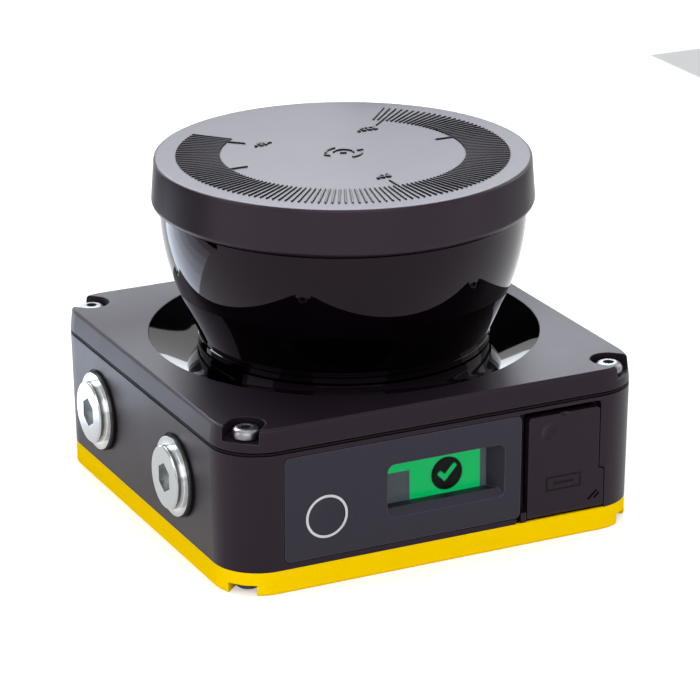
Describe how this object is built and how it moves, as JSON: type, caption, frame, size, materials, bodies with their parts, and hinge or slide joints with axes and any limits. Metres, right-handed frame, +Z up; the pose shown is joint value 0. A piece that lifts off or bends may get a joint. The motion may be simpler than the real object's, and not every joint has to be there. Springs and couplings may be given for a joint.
{
  "type": "safety laser scanner",
  "caption": "Safety laser scanner with a square dark housing on a yellow base, a black bowl-shaped optics cover, an angle-scaled cap, a small display, a button and a socket flap.",
  "frame": {"origin": "middle of the body's underside, on the surface it stands on", "axes": "+Z up along the scan axis, the display faces -Y, the blanked side outlets face -X, the connectors face +Y"},
  "size_m": [0.1049, 0.1116, 0.08],
  "materials": {
    "yellow_paint": "satin",
    "dark_housing": "satin",
    "panel_plastic": "satin",
    "gloss_cover": "gloss",
    "black_rubber": "matte",
    "bright_nickel": "gloss",
    "screw_steel": "satin",
    "black_steel": "satin",
    "clear_window": "gloss",
    "lit_display": "gloss",
    "white_plastic": "matte",
    "circuit_board": "satin",
    "black_plastic": "satin",
    "cast_aluminium": "satin",
    "motor_steel": "satin",
    "magnet": "matte",
    "copper_wire": "satin",
    "gold_pins": "gloss",
    "clear_lens": "gloss",
    "mirror_face": "gloss",
    "ribbon": "satin"
  },
  "bodies": {
    "scanner": {"base_plate": "yellow_paint", "base_seal": "black_rubber", "base_screws": "black_steel", "housing": "dark_housing", "cover_gasket": "black_rubber", "cover_frame": "dark_housing", "cover_screws": "screw_steel", "optics_cover": "gloss_cover", "cap_seal": "black_rubber", "top_cap": "dark_housing", "cap_screws": "screw_steel", "front_panel": "panel_plastic", "display_window": "clear_window", "display_glass": "lit_display", "display_light_box": "white_plastic", "display_board": "circuit_board", "display_screws": "screw_steel", "button_switch": "black_plastic", "socket_shell": "screw_steel", "socket_tongue": "black_plastic", "blanking_plugs": "bright_nickel", "plug_seals": "black_rubber", "power_connector": "bright_nickel", "power_insert": "black_plastic", "power_pins": "gold_pins", "network_connector": "bright_nickel", "network_insert": "black_plastic", "connector_seals": "black_rubber", "connector_nuts": "bright_nickel", "connector_board": "circuit_board", "main_board": "circuit_board", "board_screws": "screw_steel", "chassis": "cast_aluminium", "chassis_screws": "screw_steel", "lens_holder": "black_plastic", "receiver_lens": "clear_lens", "laser_tube": "gold_pins", "detector_board": "circuit_board", "photodiode": "black_plastic", "motor_board": "circuit_board", "encoder_sensor": "black_plastic", "motor_core": "motor_steel", "motor_coils": "copper_wire", "shaft_bearings": "screw_steel", "motor_ribbon": "ribbon"},
    "mirror_rotor": {"rotor_shaft": "screw_steel", "shaft_clip": "black_steel", "rotor_bell": "motor_steel", "magnet_ring": "magnet", "encoder_disc": "screw_steel", "mirror_carrier": "black_plastic", "scan_mirror": "mirror_face"},
    "menu_key": {"menu_button": "panel_plastic", "switch_plunger": "white_plastic"},
    "flap": {"socket_flap": "panel_plastic"}
  },
  "joints": [
    {"name": "mirror_spin", "type": "hinge", "parent": "scanner", "child": "mirror_rotor", "pos_m": [0.001, 0.0019, 0.06], "axis": [0, 0, 1], "continuous": true},
    {"name": "menu_press", "type": "slide", "parent": "scanner", "child": "menu_key", "axis": [0, 1, 0], "range_m": [0, 0.0005], "stiffness_N_per_m": 2000, "springref_m": -0.0002},
    {"name": "flap_swing", "type": "hinge", "parent": "scanner", "child": "flap", "pos_m": [0.03, -0.04925, 0.0066], "axis": [1, 0, 0], "range_deg": [0, 95]}
  ]
}
